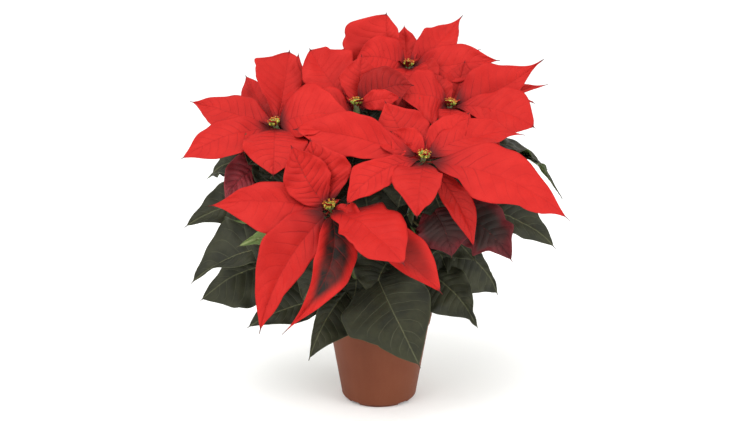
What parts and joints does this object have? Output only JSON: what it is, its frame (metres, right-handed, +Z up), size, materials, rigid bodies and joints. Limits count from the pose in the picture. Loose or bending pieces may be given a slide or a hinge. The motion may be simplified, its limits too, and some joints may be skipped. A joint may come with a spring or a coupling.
{
  "type": "potted poinsettia",
  "caption": "Potted poinsettia in full colour: star-shaped heads of red bracts over dark green leaves on a branched stem, in a round tapered terracotta-coloured plastic pot.",
  "frame": {"origin": "on the ground, on the pot's axis, which is also under the middle of the plant's width and depth", "axes": "+Z up along the pot's axis; -Y is the front, the side that the picture shows"},
  "size_m": [0.4461, 0.4121, 0.4405],
  "materials": {
    "pot": "satin",
    "soil": "matte",
    "stem": "satin",
    "crown": "satin",
    "bract": "satin",
    "leaf": "satin",
    "leaf_turning": "satin"
  },
  "bodies": {
    "root": {"bract_a1": "bract", "bract_a2": "bract", "bract_a4": "bract", "bract_a6": "bract", "bract_a7": "bract", "bract_a8": "bract", "bract_b1": "bract", "bract_b2": "bract", "bract_b3": "bract", "bract_b5": "bract", "bract_b6": "bract", "bract_b7": "bract", "bract_b8": "bract", "bract_c1": "bract", "bract_c2": "bract", "bract_c3": "bract", "bract_c4": "bract", "bract_c5": "bract", "bract_c7": "bract", "bract_c9": "bract", "bract_d1": "bract", "bract_d2": "bract", "bract_d4": "bract", "bract_e3": "bract", "bract_e5": "bract", "bract_e6": "bract", "bract_e8": "bract", "bract_f1": "bract", "bract_f3": "bract", "bract_f4": "bract", "bract_f5": "bract", "bract_f7": "bract", "bract_f8": "bract", "crown_a": "crown", "crown_b": "crown", "crown_c": "crown", "crown_d": "crown", "crown_e": "crown", "crown_f": "crown", "leaf_01": "leaf", "leaf_03": "leaf", "leaf_04": "leaf", "leaf_05": "leaf", "leaf_06": "leaf", "leaf_07": "leaf", "leaf_08": "leaf", "leaf_09": "leaf", "leaf_10": "leaf", "leaf_11": "leaf", "leaf_12": "leaf", "leaf_13": "leaf", "leaf_14": "leaf", "leaf_15": "leaf", "leaf_16": "leaf", "leaf_turning_1": "leaf_turning", "leaf_turning_2": "leaf_turning", "leaf_turning_3": "leaf_turning", "pot": "pot", "soil": "soil", "stem": "stem"}
  },
  "joints": []
}
